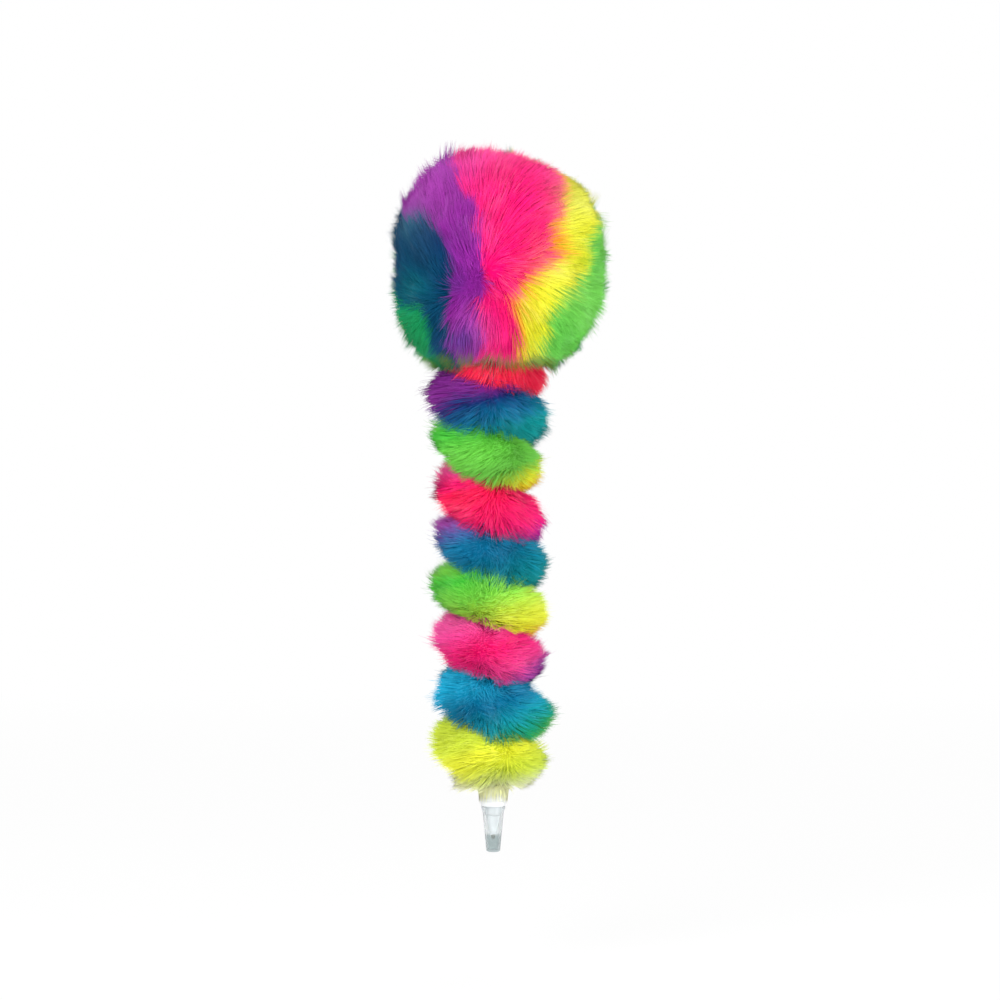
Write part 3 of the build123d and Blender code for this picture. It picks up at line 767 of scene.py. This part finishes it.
def slab(name, outer, inner):
    """Closed sheet between two grids of points."""
    rows, columns = outer.shape[:2]
    below = rows * columns
    faces = []
    for row in range(rows - 1):
        for column in range(columns - 1):
            a = row * columns + column
            faces.append((a, a + 1, a + columns + 1, a + columns))
            faces.append((below + a, below + a + columns, below + a + columns + 1, below + a + 1))
    rim = list(range(columns))
    rim += [row * columns + columns - 1 for row in range(1, rows)]
    rim += [(rows - 1) * columns + column for column in range(columns - 2, -1, -1)]
    rim += [row * columns for row in range(rows - 2, 0, -1)]
    for here, there in zip(rim, rim[1:] + rim[:1]):
        faces.append((there, here, below + here, below + there))
    mesh = bpy.data.meshes.new(name)
    mesh.from_pydata(np.concatenate([outer.reshape(-1, 3), inner.reshape(-1, 3)]).tolist(), [], faces)
    mesh.polygons.foreach_set("use_smooth", np.ones(len(faces), dtype=bool))
    mesh.update()
    return placed(name, mesh)


def make_backing():
    """The knitted band that the strip's fur grows from, wound round the barrel."""
    rows, columns = 520, 9
    half = BACKING_HEIGHT / 2
    first, last = strip_ends(BACKING_LOW[2], BACKING_HIGH[2], half)
    turns = np.linspace(first + BACKING_SHORT, last - BACKING_SHORT, rows)[:, None] * np.ones((1, columns))
    centre = STRIP_AT_RIGHT + STRIP_PITCH * turns
    low = np.maximum(centre - half, BACKING_LOW[2])
    high = np.minimum(centre + half, BACKING_HIGH[2])
    height = low + (high - low) * np.linspace(0, 1, columns)[None]
    layers = [
        round_barrel(turns.ravel(), np.full(turns.size, radius), height.ravel()).reshape(rows, columns, 3)
        for radius in (BACKING_OUTER, BACKING_OUTER - BACKING_THICK)
    ]
    return slab("strip_backing", *layers)


def stuffed_surface(half_across, half_along, latitude, azimuth):
    """Points of the pompom's squarish form inside its fur."""
    direction = np.stack(
        [np.cos(latitude) * np.cos(azimuth), np.cos(latitude) * np.sin(azimuth), np.sin(latitude)], axis=-1
    )
    level = np.hypot(direction[..., 0], direction[..., 1]) / half_across
    reach = (level**BALL_POWER + (np.abs(direction[..., 2]) / half_along) ** BALL_POWER) ** (-1 / BALL_POWER)
    return STUFFED_MIDDLE + direction * reach[..., None]


def make_cover(side):
    """One knitted half of the pompom's cover. Its seam goes up the front, over the top and down the back."""
    rows, columns = 60, 60
    turn = 0 if side == "right" else pi
    half_across = (COVER_HIGH[0] - COVER_LOW[0]) / 2
    half_along = COVER_HIGH[2] - STUFFED_MIDDLE[2]
    latitude = np.radians(np.linspace(*COVER_LATITUDES, rows))[:, None] * np.ones((1, columns))
    azimuth = np.linspace(-pi / 2, pi / 2, columns)[None] * np.ones((rows, 1))
    azimuth = azimuth + COVER_SEAM + turn
    apart = np.array((np.cos(COVER_SEAM + turn), np.sin(COVER_SEAM + turn), 0)) * COVER_GAP / 2
    layers = [
        stuffed_surface(half_across - inset, half_along - inset, latitude, azimuth) + apart
        for inset in (0, COVER_THICK)
    ]
    return slab(f"pompom_cover_{side}_knit", *layers)


def make_stuffing():
    """Fibre stuffing, lumpy where nothing presses on it, with a blind bore for the barrel."""
    rows, columns = 48, 72
    azimuth = np.linspace(0, 2 * pi, columns, endpoint=False)[None]
    latitude = np.radians(np.linspace(*STUFFING_LATITUDES, rows))[:, None] * np.ones((1, columns))
    half_across = (FILLING_HIGH[0] - FILLING_LOW[0]) / 2
    half_along = (FILLING_HIGH[2] - FILLING_LOW[2]) / 2
    outside = stuffed_surface(half_across, half_along, latitude, azimuth * np.ones((rows, 1)))
    lumps = 0.5 * MM * (1 + ripple(outside.reshape(-1, 3), 9 * MM, 81)).reshape(rows, columns, 1)
    outside = outside + unit((STUFFED_MIDDLE - outside).reshape(-1, 3)).reshape(outside.shape) * lumps
    bore = np.stack([BORE_RADIUS * np.cos(azimuth[0]), BORE_RADIUS * np.sin(azimuth[0])], axis=1)
    bottom = float(outside[-1, :, 2].mean())
    inside = [
        np.column_stack([bore * share, np.full(columns, height)])
        for share, height in ((1, bottom), (1, (bottom + BORE_TOP) / 2), (1, BORE_TOP), (0.03, BORE_TOP))
    ]
    points = np.concatenate([outside, np.array(inside)])
    piece = grid_mesh("pompom_stuffing", points, np.ones_like(points), True)
    top_loop = range(columns)[::-1]
    bore_loop = range((len(points) - 1) * columns, len(points) * columns)
    filled = bmesh.new()
    filled.from_mesh(piece.data)
    filled.verts.ensure_lookup_table()
    for loop in (top_loop, bore_loop):
        filled.faces.new([filled.verts[i] for i in loop])
    bmesh.ops.recalc_face_normals(filled, faces=filled.faces)
    filled.to_mesh(piece.data)
    filled.free()
    return piece


# ---- Materials ------------------------------------------------------------------------------------


def new_material(name):
    """A material with its nodes, its links and its main shader."""
    material = bpy.data.materials.new(name)
    material.use_nodes = True
    nodes = material.node_tree.nodes
    return material, nodes, material.node_tree.links, nodes["Principled BSDF"]


def plush_material(name, roughness):
    """Matt fibre in the colour that each point of the mesh carries: its dye, with the painted shade and light
    put on it.
    """
    material, nodes, links, shader = new_material(name)
    dye = nodes.new("ShaderNodeAttribute")
    dye.attribute_name = "dye"
    links.new(dye.outputs["Color"], shader.inputs["Base Color"])
    shader.inputs["Roughness"].default_value = roughness
    shader.inputs["Specular IOR Level"].default_value = 0.04
    return material


def plastic_material(name, colour, roughness):
    """Moulded plastic with a fine grain."""
    material, nodes, links, shader = new_material(name)
    grain = nodes.new("ShaderNodeTexNoise")
    grain.inputs["Scale"].default_value = 900
    grain.inputs["Detail"].default_value = 3
    place = nodes.new("ShaderNodeTexCoord")
    links.new(place.outputs["Object"], grain.inputs["Vector"])
    bump = nodes.new("ShaderNodeBump")
    bump.inputs["Strength"].default_value = 0.05
    bump.inputs["Distance"].default_value = 0.1 * MM
    links.new(grain.outputs["Fac"], bump.inputs["Height"])
    links.new(bump.outputs["Normal"], shader.inputs["Normal"])
    shader.inputs["Base Color"].default_value = (*colour, 1)
    shader.inputs["Roughness"].default_value = roughness
    return material


def cap_material():
    """Frosted clear plastic, greyer where the closed end is thick and empty."""
    material = plastic_material("translucent_cap", srgb(240, 246, 248), 0.16)
    nodes, links = material.node_tree.nodes, material.node_tree.links
    shader = nodes["Principled BSDF"]
    place = nodes.new("ShaderNodeTexCoord")
    split = nodes.new("ShaderNodeSeparateXYZ")
    links.new(place.outputs["Object"], split.inputs["Vector"])
    height = nodes.new("ShaderNodeMapRange")
    height.inputs["From Min"].default_value = NOSE_END - 0.6 * MM
    height.inputs["From Max"].default_value = NOSE_END + 0.4 * MM
    links.new(split.outputs["Z"], height.inputs["Value"])
    tint = nodes.new("ShaderNodeMix")
    tint.data_type = "RGBA"
    tint.inputs["A"].default_value = (*srgb(214, 222, 222), 1)
    tint.inputs["B"].default_value = (*srgb(250, 252, 252), 1)
    links.new(height.outputs["Result"], tint.inputs["Factor"])
    links.new(tint.outputs["Result"], shader.inputs["Base Color"])
    shader.inputs["Transmission Weight"].default_value = 0.95
    shader.inputs["IOR"].default_value = 1.2
    haze = nodes.new("ShaderNodeVolumeAbsorption")
    haze.inputs["Color"].default_value = (0.45, 0.53, 0.57, 1)
    haze.inputs["Density"].default_value = 135
    links.new(haze.outputs["Volume"], nodes["Material Output"].inputs["Volume"])
    return material


def bumped(name, colour, roughness, texture, strength, distance):
    """A matt material whose relief is a texture node, in the piece's own space, with painted shade in the
    hollows of the relief.
    """
    material, nodes, links, shader = new_material(name)
    place = nodes.new("ShaderNodeTexCoord")
    relief = nodes.new(texture)
    links.new(place.outputs["Object"], relief.inputs["Vector"])
    bump = nodes.new("ShaderNodeBump")
    bump.inputs["Strength"].default_value = strength
    bump.inputs["Distance"].default_value = distance
    height = relief.outputs["Fac"]
    links.new(height, bump.inputs["Height"])
    links.new(bump.outputs["Normal"], shader.inputs["Normal"])
    # Painted shade: the colour is darker where the relief is low
    tone = nodes.new("ShaderNodeMix")
    tone.data_type = "RGBA"
    tone.inputs["A"].default_value = (*(0.8 * colour), 1)
    tone.inputs["B"].default_value = (*colour, 1)
    links.new(height, tone.inputs["Factor"])
    links.new(tone.outputs["Result"], shader.inputs["Base Color"])
    shader.inputs["Roughness"].default_value = roughness
    return material, relief


def knit_material():
    """Off-white knit in slanting ribs."""
    material, relief = bumped("knit", srgb(226, 224, 218), 0.9, "ShaderNodeTexWave", 0.6, 0.3 * MM)
    relief.bands_direction = "DIAGONAL"
    relief.inputs["Scale"].default_value = 330
    relief.inputs["Distortion"].default_value = 1.5
    relief.inputs["Detail"].default_value = 2
    return material


def fibre_material():
    """White fibre with fine lumps."""
    white_fibre = srgb(238, 238, 236)
    material, relief = bumped("fibre_stuffing", white_fibre, 0.95, "ShaderNodeTexNoise", 0.8, 0.8 * MM)
    relief.inputs["Scale"].default_value = 420
    relief.inputs["Detail"].default_value = 6
    return material


def thread_material():
    """Off-white twisted thread."""
    material, relief = bumped("sewing_thread", srgb(232, 230, 224), 0.7, "ShaderNodeTexWave", 0.5, 0.1 * MM)
    relief.bands_direction = "DIAGONAL"
    relief.inputs["Scale"].default_value = 1200
    return material


def glue_material():
    """Yellowish dried glue."""
    material, relief = bumped("dried_glue", srgb(232, 222, 188), 0.3, "ShaderNodeTexNoise", 0.4, 0.2 * MM)
    relief.inputs["Scale"].default_value = 700
    return material


def tube_material():
    """Milky plastic that lets some light through."""
    material = plastic_material("refill_tube", srgb(238, 242, 240), 0.2)
    shader = material.node_tree.nodes["Principled BSDF"]
    shader.inputs["Transmission Weight"].default_value = 0.7
    shader.inputs["IOR"].default_value = 1.3
    return material


def metal_material():
    """Polished nickel."""
    material, *_, shader = new_material("nickel_point")
    shader.inputs["Base Color"].default_value = (*srgb(205, 202, 196), 1)
    shader.inputs["Metallic"].default_value = 1
    shader.inputs["Roughness"].default_value = 0.25
    return material


def dress(node, material):
    """Give a CAD node's surface a finished material."""
    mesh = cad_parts[node].data
    mesh.materials.clear()
    mesh.materials.append(material)


# ---- Assembly -------------------------------------------------------------------------------------

fur = plush_material("plush", 0.55)
underfur = plush_material("underfur", 0.8)
ball_pieces = [*make_ball_fur(), make_ball_underfur()]
strip_pieces = [*make_strip_fur(), make_strip_underfur()]
for piece in ball_pieces + strip_pieces:
    piece.data.materials.append(underfur if "underfur" in piece.name else fur)
    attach(piece, "pen_body")
for piece in ball_pieces:
    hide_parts("pompom_pile_left", "pompom_pile_right")
for piece in strip_pieces:
    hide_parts("wrap_pile")

backing = make_backing()
covers = {side: make_cover(side) for side in ("left", "right")}
stuffing = make_stuffing()
knit = knit_material()
for piece in (backing, *covers.values()):
    piece.data.materials.append(knit)
stuffing.data.materials.append(fibre_material())
for piece in (backing, stuffing, *covers.values()):
    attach(piece, "pen_body")
for side, cover in covers.items():
    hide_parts(f"pompom_cover_{side}")
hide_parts("wrap_backing")
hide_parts("pompom_filling")

white = plastic_material("white_plastic", srgb(216, 219, 221), 0.28)
dress("barrel", white)
dress("barrel_end_plug", white)
dress("nose_cone", white)
dress("tip_cap", cap_material())
dress("refill_point", metal_material())
dress("writing_ball", metal_material())
dress("refill_tube", tube_material())
dress("ink_column", plastic_material("blue_ink", srgb(16, 32, 104), 0.1))
dress("ink_follower", plastic_material("clear_grease", srgb(214, 218, 200), 0.15))
glue = glue_material()
for ring in ("lower_glue", "upper_glue", "neck_glue"):
    dress(ring, glue)
thread = thread_material()
for seam in ("seam_thread", "gather_thread"):
    dress(seam, thread)

# ---- Stage ----------------------------------------------------------------------------------------

FLOOR_DROP = 45 * MM


def make_floor():
    """A wide pale floor, which goes over into plain white away from the pen."""
    mesh = bpy.data.meshes.new("floor")
    size = 12
    height = -FLOOR_DROP
    corners = [(-size, -size, height), (size, -size, height), (size, size, height), (-size, size, height)]
    mesh.from_pydata(corners, [], [(0, 1, 2, 3)])
    floor = placed("floor", mesh)
    material, nodes, links, shader = new_material("pale_floor")
    shader.inputs["Base Color"].default_value = (0.9, 0.9, 0.9, 1)
    shader.inputs["Roughness"].default_value = 0.9
    shader.inputs["Specular IOR Level"].default_value = 0.0
    glow = nodes.new("ShaderNodeEmission")
    glow.inputs["Color"].default_value = (1, 1, 1, 1)
    path = nodes.new("ShaderNodeLightPath")
    share = nodes.new("ShaderNodeMath")
    share.operation = "MULTIPLY"
    links.new(path.outputs["Is Camera Ray"], share.inputs[0])
    place = nodes.new("ShaderNodeTexCoord")
    reach = nodes.new("ShaderNodeVectorMath")
    reach.operation = "LENGTH"
    links.new(place.outputs["Object"], reach.inputs[0])
    near = nodes.new("ShaderNodeMapRange")
    near.inputs["From Min"].default_value = 0.15
    near.inputs["From Max"].default_value = 1.5
    near.inputs["To Min"].default_value = 0.88
    near.inputs["To Max"].default_value = 1.0
    links.new(reach.outputs["Value"], near.inputs["Value"])
    links.new(near.outputs["Result"], share.inputs[1])
    mix = nodes.new("ShaderNodeMixShader")
    links.new(share.outputs[0], mix.inputs["Fac"])
    links.new(shader.outputs["BSDF"], mix.inputs[1])
    links.new(glow.outputs["Emission"], mix.inputs[2])
    links.new(mix.outputs["Shader"], nodes["Material Output"].inputs["Surface"])
    mesh.materials.append(material)


def make_world():
    """White where the camera sees it, also through the cap, and dimmer as a light."""
    world = bpy.data.worlds.new("studio")
    bpy.context.scene.world = world
    world.use_nodes = True
    nodes, links = world.node_tree.nodes, world.node_tree.links
    background = nodes["Background"]
    background.inputs["Color"].default_value = (1, 1, 1, 1)
    path = nodes.new("ShaderNodeLightPath")
    seen = nodes.new("ShaderNodeMath")
    seen.operation = "MAXIMUM"
    links.new(path.outputs["Is Camera Ray"], seen.inputs[0])
    links.new(path.outputs["Is Transmission Ray"], seen.inputs[1])
    level = nodes.new("ShaderNodeMapRange")
    level.inputs["To Min"].default_value = 0.64
    level.inputs["To Max"].default_value = 1.0
    links.new(seen.outputs[0], level.inputs["Value"])
    links.new(level.outputs["Result"], background.inputs["Strength"])


def area_light(name, place, target, size, power):
    """A round lamp that faces its target."""
    data = bpy.data.lights.new(name, "AREA")
    data.shape = "DISK"
    data.size = size
    data.energy = power
    lamp = placed(name, data)
    lamp.location = place
    lamp.rotation_euler = (Vector(target) - Vector(place)).to_track_quat("-Z", "Y").to_euler()


def make_camera():
    """Level with the pen's middle, so far off that the view is almost square on."""
    data = bpy.data.cameras.new("camera")
    data.lens = 100
    data.sensor_width = 36
    camera = placed("camera", data)
    frame_width = 369.3 * MM
    distance = frame_width * data.lens / data.sensor_width
    camera.location = (2.5 * MM, -distance, 129.8 * MM)
    camera.rotation_euler = (radians(90), 0, 0)
    bpy.context.scene.camera = camera


make_floor()
make_world()
middle = (0, 0, 0.14)
area_light("key", (-0.5, -0.9, 0.75), middle, 0.6, 9.3)
area_light("fill", (0.8, -0.7, 0.25), middle, 0.7, 5.7)
area_light("top", (0.1, 0.2, 1.1), middle, 0.6, 2.2)
area_light("low", (-0.1, -0.8, 0.0), (0, 0, 0.05), 0.5, 2.7)
make_camera()
bpy.context.scene.view_settings.view_transform = "Standard"
